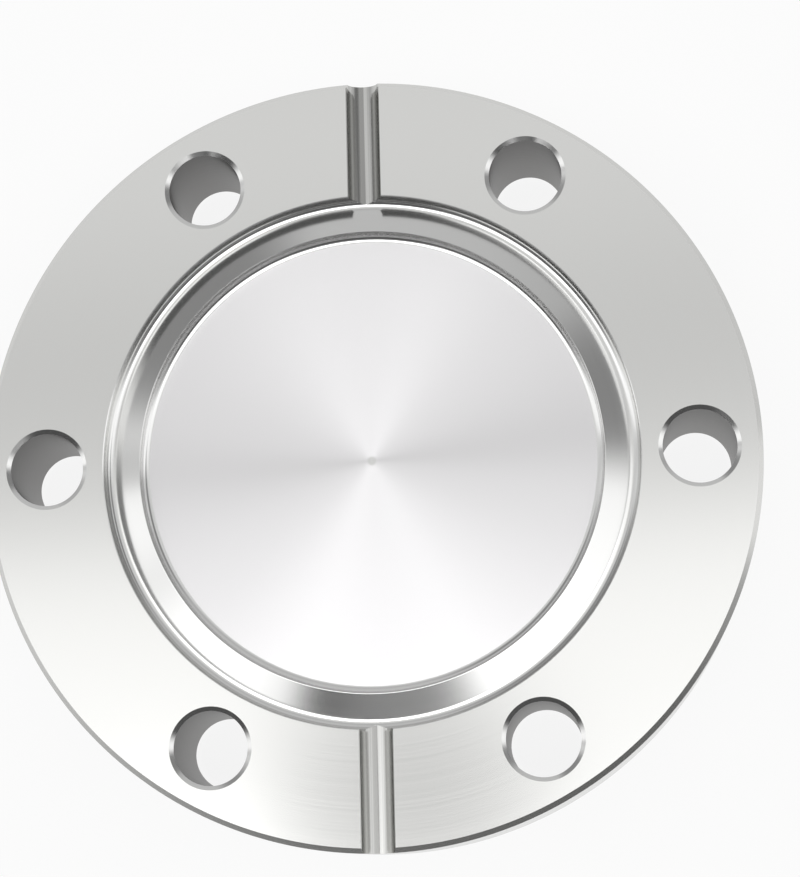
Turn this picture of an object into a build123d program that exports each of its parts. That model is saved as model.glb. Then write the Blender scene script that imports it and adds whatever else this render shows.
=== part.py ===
from build123d import *
from math import radians, tan
import os

# A knife-edge vacuum flange of the blank kind: one disc, turned and drilled from stainless
# bar. Millimetres. The back face lies on z = 0, +Z comes out of the sealing face, and the
# leak-check grooves lie along +Y and -Y, half way between two bolt holes.

# Disc
flange_diameter = 69.85
flange_thickness = 12.70
rim_chamfer = 0.60

# Bolt holes, on a circle that keeps its distance from the rim
bolt_count = 6
bolt_hole_diameter = 6.60
bolt_hole_chamfer = 0.35
rim_to_bolt_circle = 5.575

# Gasket recess, inside the bolt circle
bolt_circle_to_recess = 5.20
recess_edge_chamfer = 0.15
recess_corner_radius = 0.50

# Knife edge: the gasket lies between its tip and the recess wall, over the sloping side
gasket_seat_width = 3.20
knife_depth = 0.65
knife_slope = 20.0
knife_wall_height = 1.20
pocket_corner_radius = 0.70

# Mark that the facing tool leaves on the axis
centre_mark_diameter = 0.80
centre_mark_depth = 0.10

# Leak-check grooves, each half way between two bolt holes
leak_groove_count = 2
leak_groove_width = 2.90
leak_groove_depth = 1.45

# Room that a cutter runs past the metal it cuts
cutter_overrun = 1.0

# Radii and angles that follow from the sizes above
outer_radius = flange_diameter / 2
bolt_circle_radius = outer_radius - rim_to_bolt_circle
recess_radius = bolt_circle_radius - bolt_circle_to_recess
knife_radius = recess_radius - gasket_seat_width
bolt_pitch_angle = 360 / bolt_count
leak_groove_angle = (bolt_count // 4 + 0.5) * bolt_pitch_angle


def flange_section():
    """Half of the flange's section, from the axis out, drawn with x as radius and y as height."""
    mark_radius = centre_mark_diameter / 2
    tip_height = flange_thickness - knife_depth
    floor_height = tip_height - knife_wall_height
    slope_fall = gasket_seat_width * tan(radians(knife_slope))

    knife_tip = (knife_radius, tip_height)
    recess_corner = (recess_radius, tip_height - slope_fall)
    pocket_corner = (knife_radius, floor_height)

    section = make_face(
        Polyline(
            (0, 0),
            (outer_radius - rim_chamfer, 0),
            (outer_radius, rim_chamfer),
            (outer_radius, flange_thickness - rim_chamfer),
            (outer_radius - rim_chamfer, flange_thickness),
            (recess_radius + recess_edge_chamfer, flange_thickness),
            (recess_radius, flange_thickness - recess_edge_chamfer),
            recess_corner,
            knife_tip,
            pocket_corner,
            (mark_radius, floor_height),
            (0, floor_height - centre_mark_depth),
            close=True,
        )
    )
    section = with_round_corner(section, recess_corner, recess_corner_radius)
    return with_round_corner(section, pocket_corner, pocket_corner_radius)


def with_round_corner(section, corner, radius):
    """The section with one of its corners rounded."""
    vertex = section.vertices().sort_by_distance(corner)[0]
    return fillet(vertex, radius)


def turned_disc():
    """The disc as it leaves the lathe: faces, rim, gasket recess, knife edge and pocket."""
    return revolve(Plane.XZ * flange_section(), Axis.Z)


def bolt_hole_cutter():
    """A drill through both faces, with the countersink that breaks each mouth."""
    hole_radius = bolt_hole_diameter / 2
    mouth_radius = hole_radius + bolt_hole_chamfer + cutter_overrun
    profile = make_face(
        Polyline(
            (0, -cutter_overrun),
            (mouth_radius, -cutter_overrun),
            (hole_radius, bolt_hole_chamfer),
            (hole_radius, flange_thickness - bolt_hole_chamfer),
            (mouth_radius, flange_thickness + cutter_overrun),
            (0, flange_thickness + cutter_overrun),
            close=True,
        )
    )
    return revolve(Plane.XZ * profile, Axis.Z)


def leak_groove_cutter():
    """A round-nosed slot cutter that runs along +X, from the gasket recess out past the rim."""
    nose_radius = leak_groove_width / 2
    nose_height = flange_thickness - leak_groove_depth + nose_radius
    start_x = recess_radius - recess_corner_radius
    end_x = outer_radius + cutter_overrun
    top_height = max(nose_height, flange_thickness) + cutter_overrun

    nose = Pos(0, nose_height) * Circle(nose_radius)
    shank = Rectangle(leak_groove_width, top_height - nose_height, align=(Align.CENTER, Align.MIN))
    profile = nose + Pos(0, nose_height) * shank
    return extrude(Plane.YZ.offset(start_x) * profile, amount=end_x - start_x)


def blank_flange():
    """The finished flange."""
    body = turned_disc()
    for hole_place in PolarLocations(bolt_circle_radius, bolt_count):
        body -= hole_place * bolt_hole_cutter()
    for groove_place in PolarLocations(0, leak_groove_count, start_angle=leak_groove_angle):
        body -= groove_place * leak_groove_cutter()
    return body


os.makedirs("parts", exist_ok=True)
export_step(blank_flange(), "parts/blank_flange.step")
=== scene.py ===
from math import cos, hypot, pi, radians, sin, tan

import bmesh
import bpy
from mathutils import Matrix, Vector


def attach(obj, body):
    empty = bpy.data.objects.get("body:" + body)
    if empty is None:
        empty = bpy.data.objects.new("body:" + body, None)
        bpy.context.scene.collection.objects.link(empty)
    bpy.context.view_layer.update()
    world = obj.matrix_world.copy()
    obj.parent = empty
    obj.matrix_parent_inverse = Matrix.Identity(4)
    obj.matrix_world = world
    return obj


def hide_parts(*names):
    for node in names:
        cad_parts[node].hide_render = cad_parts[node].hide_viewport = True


# A blank knife-edge vacuum flange, turned and drilled from stainless bar, sealing face up on
# a pale studio floor. Everything is in metres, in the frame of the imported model.

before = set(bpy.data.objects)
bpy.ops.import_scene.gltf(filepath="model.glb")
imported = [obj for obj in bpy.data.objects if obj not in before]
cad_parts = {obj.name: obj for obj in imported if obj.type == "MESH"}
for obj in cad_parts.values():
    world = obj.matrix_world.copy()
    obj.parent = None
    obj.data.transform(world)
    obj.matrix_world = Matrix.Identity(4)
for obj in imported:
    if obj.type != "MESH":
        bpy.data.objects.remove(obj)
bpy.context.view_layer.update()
MM = 0.001

# Disc
OUTER_RADIUS = 34.925 * MM
THICKNESS = 12.70 * MM
RIM_CHAMFER = 0.45 * MM

# Bolt holes
BOLT_COUNT = 6
BOLT_CIRCLE_RADIUS = 29.35 * MM
BOLT_HOLE_RADIUS = 3.30 * MM
BOLT_HOLE_CHAMFER = 0.38 * MM
COUNTERSINK_SLOPE = radians(30)

# Gasket recess, knife edge and the pocket inside it
RECESS_RADIUS = 24.15 * MM
RECESS_EDGE_CHAMFER = 0.08 * MM
RECESS_CORNER_RADIUS = 0.75 * MM
KNIFE_RADIUS = 20.95 * MM
KNIFE_DEPTH = 0.65 * MM
KNIFE_SLOPE = radians(20)
KNIFE_WALL_HEIGHT = 1.20 * MM
POCKET_CORNER_RADIUS = 0.70 * MM
CENTRE_MARK_RADIUS = 0.40 * MM
CENTRE_MARK_DEPTH = 0.10 * MM

# Leak-check grooves
GROOVE_WIDTH = 2.90 * MM
GROOVE_DEPTH = 1.45 * MM
GROOVE_START = 23.65 * MM

# Small breaks on edges that a lathe or a file leaves
KNIFE_TIP_BREAK = 0.06 * MM
GROOVE_EDGE_BREAK = 0.08 * MM

# Heights that follow from the sizes
KNIFE_HEIGHT = THICKNESS - KNIFE_DEPTH
POCKET_HEIGHT = KNIFE_HEIGHT - KNIFE_WALL_HEIGHT
RECESS_FOOT = KNIFE_HEIGHT - (RECESS_RADIUS - KNIFE_RADIUS) * tan(KNIFE_SLOPE)

# How finely round shapes are divided, and the steepest fold that is still shaded smooth
TURNING_STEPS = 288
DRILL_STEPS = 72
NOSE_STEPS = 32
CORNER_STEPS = 8
TIP_STEPS = 3
SMOOTH_BELOW = radians(28)

# Room that a cutter runs past the metal, and how near two points are one
OVERRUN = 1.0 * MM
WELD = 0.0005 * MM


# ---------------------------------------------------------------- modelling helpers


def work_on(*pieces):
    """Selects these pieces and nothing else, so that an operator reaches no others. With no
    pieces, what is added next is alone."""
    bpy.ops.object.select_all(action="DESELECT")
    for piece in pieces:
        piece.select_set(True)
        bpy.context.view_layer.objects.active = piece


def draw_line(name, points):
    """A chain of edges through points of (x, z) in the XZ plane. Edit mode stays on."""
    work_on()
    bpy.ops.mesh.primitive_plane_add(size=MM)
    bpy.context.object.name = name
    bpy.ops.object.mode_set(mode="EDIT")
    bpy.ops.mesh.select_all(action="SELECT")
    bpy.ops.mesh.merge(type="CENTER")
    first_x, first_z = points[0]
    bpy.ops.transform.translate(value=(first_x, 0, first_z))
    for (x0, z0), (x1, z1) in zip(points, points[1:]):
        step = (x1 - x0, 0, z1 - z0)
        bpy.ops.mesh.extrude_vertices_move(TRANSFORM_OT_translate={"value": step})


def round_corner(corner, radius, turn, steps):
    """Rounds one corner of the drawn line. turn is the angle that the line turns there."""
    place = Vector((corner[0], 0, corner[1]))
    line = bpy.context.object.data
    bpy.ops.mesh.select_mode(type="VERT")
    bpy.ops.mesh.select_all(action="DESELECT")
    mesh = bmesh.from_edit_mesh(line)
    for vertex in mesh.verts:
        vertex.select_set((vertex.co - place).length < WELD)
    mesh.select_flush_mode()
    bmesh.update_edit_mesh(line)
    setback = radius * tan(turn / 2)
    bpy.ops.mesh.bevel(affect="VERTICES", offset_type="OFFSET", offset=setback, segments=steps)


def turn_solid(steps):
    """Spins the drawn line once round the Z axis and closes it into a solid."""
    bpy.ops.mesh.select_all(action="SELECT")
    bpy.ops.mesh.spin(steps=steps, angle=2 * pi, center=(0, 0, 0), axis=(0, 0, 1))
    bpy.ops.mesh.select_all(action="SELECT")
    bpy.ops.mesh.remove_doubles(threshold=WELD)
    bpy.ops.mesh.normals_make_consistent(inside=False)
    bpy.ops.object.mode_set(mode="OBJECT")
    return bpy.context.object


def cut(body, cutter):
    """Takes a cutter out of a body and throws it away. The cut takes the cutter's finish."""
    work_on(body)
    hole = body.modifiers.new("cut", "BOOLEAN")
    hole.operation = "DIFFERENCE"
    hole.solver = "EXACT"
    hole.material_mode = "TRANSFER"
    hole.object = cutter
    bpy.ops.object.modifier_apply(modifier=hole.name)
    bpy.data.objects.remove(cutter)


# ---------------------------------------------------------------- materials


def linear(hex_colour):
    """An sRGB hex colour as linear red, green, blue and alpha."""
    values = [int(hex_colour[i : i + 2], 16) / 255 for i in (0, 2, 4)]
    return [v / 12.92 if v <= 0.04045 else ((v + 0.055) / 1.055) ** 2.4 for v in values] + [1.0]


def add(tree, kind, *sources, **settings):
    """Adds a node. Sources feed its inputs in order, and settings are its properties or feed
    the inputs of that name. A source is a node, one of its outputs, or a plain value."""
    node = tree.nodes.new("ShaderNode" + kind)
    feeds = list(enumerate(sources))
    for key, value in settings.items():
        if hasattr(node, key):
            setattr(node, key, value)
        else:
            feeds.append((key.replace("_", " "), value))
    for socket, source in feeds:
        if hasattr(source, "outputs"):
            source = source.outputs[0]
        if hasattr(source, "links"):
            tree.links.new(source, node.inputs[socket])
        else:
            node.inputs[socket].default_value = source
    return node


def new_material(name):
    """An empty material and the tree that its nodes go into."""
    material = bpy.data.materials.new(name)
    material.use_nodes = True
    material.node_tree.nodes.clear()
    return material, material.node_tree


# Tool marks. A finishing cut feeds about 0.1 mm a turn, too fine to show as lines, so the
# marks are drawn as bands of these widths, a few times coarser than the real ones.
TURNING_PITCH = 0.30 * MM
POCKET_PITCH = 0.25 * MM
MILLING_PITCH = 0.60 * MM
MICRON = MM / 1000
# How ragged the bands are, and how gloss and streaks follow them
MARK_DETAIL, MARK_FALL_OFF = 3.0, 0.6
GLOSS_RANGE = (0.3, 0.7)
GLOSS_SWING = 0.05
STREAK_RANGE = (0.40, 0.60)


def stainless(
    name, colour, roughness, spread,
    grain="turned", pitch=TURNING_PITCH, relief=0.2 * MICRON, streaks=None,
):
    """304 stainless steel, bare and machined. Its fine tool marks stretch the highlights.

    spread is how far they stretch, grain is the way that the marks run, pitch and relief are
    their width and depth, and streaks is the darker colour that a heavy cut leaves."""
    material, tree = new_material(name)
    place = add(tree, "TexCoord").outputs["Object"]
    x, y, z = add(tree, "SeparateXYZ", place).outputs
    if grain == "turned":
        from_axis = add(tree, "CombineXYZ", x, y, 0.0)
        radius = add(tree, "VectorMath", from_axis, operation="LENGTH").outputs["Value"]
        minus_y = add(tree, "Math", y, -1.0, operation="MULTIPLY")
        marks_run = add(tree, "CombineXYZ", minus_y, x, 0.0)
        across_marks = add(tree, "Math", radius, z, operation="ADD")
    else:
        marks_run = add(tree, "CombineXYZ", 0.0, 1.0, 0.0)
        across_marks = x
    normal = add(tree, "NewGeometry").outputs["Normal"]
    tangent = add(tree, "VectorMath", marks_run, normal, operation="CROSS_PRODUCT")

    marks = add(
        tree, "TexNoise", noise_dimensions="1D",
        W=across_marks, Scale=1 / pitch, Detail=MARK_DETAIL, Roughness=MARK_FALL_OFF,
    )
    bump = add(tree, "Bump", Strength=1.0, Distance=relief, Height=marks)
    smoothest, roughest = roughness * (1 - GLOSS_SWING), roughness * (1 + GLOSS_SWING)
    gloss = add(tree, "MapRange", marks, *GLOSS_RANGE, smoothest, roughest)
    metal = add(
        tree, "BsdfPrincipled", Metallic=1.0, Anisotropic=spread,
        Base_Color=linear(colour), Roughness=gloss, Normal=bump, Tangent=tangent,
    )
    if streaks:
        ramp = add(tree, "ValToRGB", marks)
        dark_end, light_end = ramp.color_ramp.elements
        dark_end.position, light_end.position = STREAK_RANGE
        dark_end.color, light_end.color = linear(streaks), linear(colour)
        tree.links.new(ramp.outputs[0], metal.inputs["Base Color"])
    add(tree, "OutputMaterial", metal)
    return material


# Sealing face and back, faced with a fine feed: a soft mirror that grades smoothly
faced_steel = stainless("stainless_faced", "E7E7E5", 0.13, 0.25)
# Slope, recess wall and edge breaks, turned: bright and dark bands that follow the profile
turned_steel = stainless("stainless_turned", "E4E4E3", 0.15, 0.4)
# Pocket floor, faced from rim to centre: faint rings, and a fan of light from the centre
pocket_steel = stainless("stainless_pocket", "E9E8E9", 0.26, 0.95, pitch=POCKET_PITCH)
# Bolt holes, drilled and left so: dull walls. Their darker grey colour is painted shade in the
# bores
drilled_steel_painted_shade = stainless("stainless_drilled_painted_shade", "7C7B7A", 0.38, 0.5)
# Leak-check grooves, milled in one pass: streaks along the groove between bright lines
milled_steel = stainless(
    "stainless_milled", "D2D2D0", 0.15, 0.6,
    grain="milled", pitch=MILLING_PITCH, relief=1.2 * MICRON, streaks="A6A6A4",
)
# Rim and its chamfers, turned with a coarser feed: less sharp, and a little darker in colour,
# which is painted shade on the upright rim
rim_steel_painted_shade = stainless("stainless_rim_painted_shade", "CFCFCD", 0.19, 0.5, relief=0.4 * MICRON)


# ---------------------------------------------------------------- the flange


def turned_disc():
    """The disc as it leaves the lathe."""
    recess_corner = (RECESS_RADIUS, RECESS_FOOT)
    knife_tip = (KNIFE_RADIUS, KNIFE_HEIGHT)
    pocket_corner = (KNIFE_RADIUS, POCKET_HEIGHT)
    shoulder = OUTER_RADIUS - RIM_CHAMFER
    outline = [
        (0, 0),
        (shoulder, 0),
        (OUTER_RADIUS, RIM_CHAMFER),
        (OUTER_RADIUS, THICKNESS - RIM_CHAMFER),
        (shoulder, THICKNESS),
        (RECESS_RADIUS + RECESS_EDGE_CHAMFER, THICKNESS),
        (RECESS_RADIUS, THICKNESS - RECESS_EDGE_CHAMFER),
        recess_corner,
        knife_tip,
        pocket_corner,
        (CENTRE_MARK_RADIUS, POCKET_HEIGHT),
        (0, POCKET_HEIGHT - CENTRE_MARK_DEPTH),
    ]
    draw_line("flange", outline)
    round_corner(recess_corner, RECESS_CORNER_RADIUS, pi / 2 + KNIFE_SLOPE, CORNER_STEPS)
    round_corner(pocket_corner, POCKET_CORNER_RADIUS, pi / 2, CORNER_STEPS)
    round_corner(knife_tip, KNIFE_TIP_BREAK, pi / 2 + KNIFE_SLOPE, TIP_STEPS)
    return turn_solid(TURNING_STEPS)


def bolt_drill(angle):
    """The drill and countersinks of one bolt hole, at that angle on the bolt circle."""
    countersink_depth = BOLT_HOLE_CHAMFER * tan(COUNTERSINK_SLOPE)
    mouth = BOLT_HOLE_RADIUS + BOLT_HOLE_CHAMFER + OVERRUN / tan(COUNTERSINK_SLOPE)
    outline = [
        (0, -OVERRUN),
        (mouth, -OVERRUN),
        (BOLT_HOLE_RADIUS, countersink_depth),
        (BOLT_HOLE_RADIUS, THICKNESS - countersink_depth),
        (mouth, THICKNESS + OVERRUN),
        (0, THICKNESS + OVERRUN),
    ]
    draw_line("bolt_drill", outline)
    drill = turn_solid(DRILL_STEPS)
    drill.location = (BOLT_CIRCLE_RADIUS * cos(angle), BOLT_CIRCLE_RADIUS * sin(angle), 0)
    return drill


def groove_mill(side):
    """The round-nosed cutter of one leak-check groove. side is 1 towards +Y, -1 towards -Y."""
    nose = GROOVE_WIDTH / 2
    nose_height = THICKNESS - GROOVE_DEPTH + nose
    lip_height = THICKNESS - GROOVE_EDGE_BREAK
    flare = nose + GROOVE_EDGE_BREAK + OVERRUN
    turns = [pi + pi * i / NOSE_STEPS for i in range(NOSE_STEPS + 1)]
    arc = [(nose * cos(turn), nose_height + nose * sin(turn)) for turn in turns]
    outline = [
        (-flare, THICKNESS + OVERRUN),
        (-nose, lip_height),
        *(point for point in arc if point[1] < lip_height),
        (nose, lip_height),
        (flare, THICKNESS + OVERRUN),
    ]
    draw_line("groove_mill", outline)
    bpy.ops.mesh.select_all(action="SELECT")
    bpy.ops.mesh.edge_face_add()
    start = side * GROOVE_START
    length = side * (OUTER_RADIUS + OVERRUN - GROOVE_START)
    bpy.ops.transform.translate(value=(0, start, 0))
    bpy.ops.mesh.extrude_region_move(TRANSFORM_OT_translate={"value": (0, length, 0)})
    bpy.ops.mesh.select_all(action="SELECT")
    bpy.ops.mesh.normals_make_consistent(inside=False)
    bpy.ops.object.mode_set(mode="OBJECT")
    return bpy.context.object


# A face is level or upright by how far its normal leans on the Z axis
LEVEL_ABOVE = 0.999
UPRIGHT_BELOW = 0.3

flange = turned_disc()
for finish in (faced_steel, turned_steel, pocket_steel, rim_steel_painted_shade):
    flange.data.materials.append(finish)
# Slots of those finishes. A face starts in slot 0, faced
TURNED, POCKET, RIM = 1, 2, 3
for face in flange.data.polygons:
    radius = hypot(face.center.x, face.center.y)
    level = abs(face.normal.z) > LEVEL_ABOVE
    if level and radius < KNIFE_RADIUS and face.center.z > THICKNESS / 2:
        face.material_index = POCKET
    elif not level and radius > OUTER_RADIUS - RIM_CHAMFER:
        face.material_index = RIM
    elif not level:
        face.material_index = TURNED

for i in range(BOLT_COUNT):
    drill = bolt_drill(2 * pi * i / BOLT_COUNT)
    for finish in (drilled_steel_painted_shade, turned_steel):
        drill.data.materials.append(finish)
    for face in drill.data.polygons:
        if abs(face.normal.z) > UPRIGHT_BELOW:
            face.material_index = TURNED
    cut(flange, drill)
for side in (1, -1):
    mill = groove_mill(side)
    mill.data.materials.append(milled_steel)
    cut(flange, mill)

work_on(flange)
bpy.ops.object.mode_set(mode="EDIT")
bpy.ops.mesh.select_all(action="SELECT")
bpy.ops.mesh.remove_doubles(threshold=WELD)
bpy.ops.object.mode_set(mode="OBJECT")
bpy.ops.object.shade_smooth_by_angle(angle=SMOOTH_BELOW)
even_normals = flange.modifiers.new("even_normals", "WEIGHTED_NORMAL")
even_normals.keep_sharp = True
bpy.ops.object.modifier_apply(modifier=even_normals.name)
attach(flange, "root")
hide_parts("blank_flange")


# ---------------------------------------------------------------- floor

FLOOR_RADIUS = 220 * MM
FLOOR_SIDES = 96
# The floor lies this far under the flange, so that the two don't share a plane
FLOOR_DROP = 0.02 * MM
# The card's share of plain white. The rest takes the studio's light and the shadow.
WHITE_SHARE = 0.88


def white_card():
    """Matt white card: an even white, also in the metal, with the flange's soft shadow on it."""
    card, tree = new_material("white_card")
    rays = add(tree, "LightPath").outputs
    seen = add(tree, "Math", rays["Is Camera Ray"], rays["Is Glossy Ray"], operation="MAXIMUM")
    seen = add(tree, "Math", seen, rays["Is Transmission Ray"], operation="MAXIMUM")
    share = add(tree, "Math", seen, WHITE_SHARE, operation="MULTIPLY")
    paper = add(tree, "BsdfDiffuse", linear("F4F4F4"))
    white = add(tree, "Emission", linear("FFFFFF"), 1.0)
    add(tree, "OutputMaterial", add(tree, "MixShader", share, paper, white))
    return card


work_on()
bpy.ops.mesh.primitive_circle_add(
    vertices=FLOOR_SIDES, radius=FLOOR_RADIUS, fill_type="NGON", location=(0, 0, -FLOOR_DROP)
)
floor = bpy.context.object
floor.name = "floor"
floor.data.materials.append(white_card())


# ---------------------------------------------------------------- studio

# A white tent, drawn by direction as the flange sees it. Directions are measured along three
# axes that lean a little, as the tent does: across from the near side to the far one, towards
# the near side, and up.
TENT_AXIS = (-0.05, 1.0, 0.0)
NEAR_AXIS = (-0.02, -1.0, 0.0)
UP_AXIS = (-0.05, 0.0, 1.0)

# Brightness from the near horizon, -1, over the top to the far one, 1: white cloth on the
# near side, and a grey ceiling on the far one
TENT_BRIGHTNESS = [
    (-1.00, 1.15), (-0.30, 1.17), (0.02, 1.22), (0.118, 1.21), (0.150, 0.80),
    (0.168, 0.69), (0.205, 0.65), (0.25, 0.72), (0.29, 0.80), (0.34, 0.76),
    (0.43, 0.58), (0.55, 0.52), (0.75, 0.60), (1.00, 0.62),
]
# How far the curve through them may reach
CURVE_END = 1.1
DARKEST, BRIGHTEST = 0.0, 3.0

# The lamp's glow on the cloth: what it adds, and where it starts and is full
LAMP_GLOW = 1.20
LAMP_ACROSS = (-0.01, -0.12)
LAMP_HEIGHT = (0.80, 0.89)

# Soft round places, drawn over it: (azimuth, tilt from straight up, half width and soft edge
# in degrees, brightness)
PLACES = [
    (243, 14, 6, 10, 2.9),  # lamp
    (206, 31, 7, 11, 1.9),  # second lamp, weaker
    (166, 4.8, 1.8, 2.4, 0.46),  # camera
    (256, 37, 6, 8, 0.09),  # person behind the camera
    (271, 38, 4, 12, 0.25),  # second person
    (27, 50, 7, 13, 0.25),  # gap between two panels
    (133, 55, 9, 14, 0.28),  # another gap
]

# Under the cloth on the near side, from its edge down: (start and full along the up axis,
# start and full along the near axis, brightness)
OPEN_FRONT = [
    (0.745, 0.69, 0.05, 0.35, 0.08),  # dark room
    (0.36, 0.28, 0.05, 0.35, 0.45),  # paler wall in it
    (0.22, 0.04, 0.15, 0.60, 0.05),  # dark floor
]


def soft_mask(tree, *limits):
    """Rises softly from 0 to 1 where a direction passes all the limits. A limit is what is
    measured, where the rise starts, and where it is full."""
    mask, *others = [
        add(tree, "MapRange", measure, start, full, interpolation_type="SMOOTHSTEP")
        for measure, start, full in limits
    ]
    for other in others:
        mask = add(tree, "Math", mask, other, operation="MULTIPLY")
    return mask


def studio_tent():
    """The world that lights the flange and that its steel mirrors."""
    world = bpy.data.worlds.new("studio_tent")
    world.use_nodes = True
    tree = world.node_tree
    tree.nodes.clear()

    way = add(tree, "TexCoord").outputs["Generated"]
    way = add(tree, "VectorMath", way, operation="NORMALIZE")
    height = add(tree, "SeparateXYZ", way).outputs["Z"]
    across, nearness, level = (
        add(tree, "VectorMath", way, axis, operation="DOT_PRODUCT").outputs["Value"]
        for axis in (TENT_AXIS, NEAR_AXIS, UP_AXIS)
    )

    glow = add(tree, "FloatCurve", 1.0, across)
    curve = glow.mapping
    curve.clip_min_x, curve.clip_max_x = -CURVE_END, CURVE_END
    curve.clip_min_y, curve.clip_max_y = DARKEST, BRIGHTEST
    points = curve.curves[0].points
    while len(points) < len(TENT_BRIGHTNESS):
        points.new(0, 0)
    for point, place in zip(points, TENT_BRIGHTNESS):
        point.location = place
        point.handle_type = "AUTO_CLAMPED"
    curve.update()
    lamp = soft_mask(tree, (across, *LAMP_ACROSS), (height, *LAMP_HEIGHT))
    glow = add(tree, "Math", lamp, LAMP_GLOW, glow, operation="MULTIPLY_ADD")

    patches = []
    for azimuth, tilt, half_width, soft, brightness in PLACES:
        azimuth, tilt = radians(azimuth), radians(tilt)
        towards = (sin(tilt) * cos(azimuth), sin(tilt) * sin(azimuth), cos(tilt))
        aim = add(tree, "VectorMath", way, towards, operation="DOT_PRODUCT").outputs["Value"]
        rim, core = cos(radians(half_width + soft)), cos(radians(half_width))
        patches.append((soft_mask(tree, (aim, rim, core)), brightness))
    for low_start, low_full, near_start, near_full, brightness in OPEN_FRONT:
        low, near = (level, low_start, low_full), (nearness, near_start, near_full)
        patches.append((soft_mask(tree, low, near), brightness))
    for mask, brightness in patches:
        glow = add(tree, "Mix", mask, data_type="FLOAT", A=glow, B=brightness)

    # The camera sees plain white past the floor. Bright steel shows its form by what it
    # mirrors, so glossy rays see the tent.
    rays = add(tree, "LightPath").outputs
    direct = add(
        tree, "Math", rays["Is Camera Ray"], rays["Is Transmission Ray"], operation="MAXIMUM"
    )
    strength = add(tree, "Mix", direct, data_type="FLOAT", A=glow, B=1.0)
    add(tree, "OutputWorld", add(tree, "Background", linear("FFFFFF"), strength))
    return world


bpy.context.scene.world = studio_tent()


# ---------------------------------------------------------------- camera

# Nearly straight above, a little towards the near side and the right
CAMERA_PLACE = (20.4 * MM, -36.9 * MM, 231.2 * MM)
CAMERA_TURN = (radians(10.0), radians(4.55), radians(-2.16))
CAMERA_LENS = 102.2
CAMERA_SENSOR = 36
CAMERA_NEAREST = 10 * MM

camera_data = bpy.data.cameras.new("camera")
camera_data.lens = CAMERA_LENS
camera_data.sensor_width = CAMERA_SENSOR
camera_data.clip_start = CAMERA_NEAREST
camera = bpy.data.objects.new("camera", camera_data)
bpy.context.collection.objects.link(camera)
camera.location = CAMERA_PLACE
camera.rotation_mode = "ZYX"
camera.rotation_euler = CAMERA_TURN
bpy.context.scene.camera = camera

bpy.context.scene.view_settings.view_transform = "Standard"
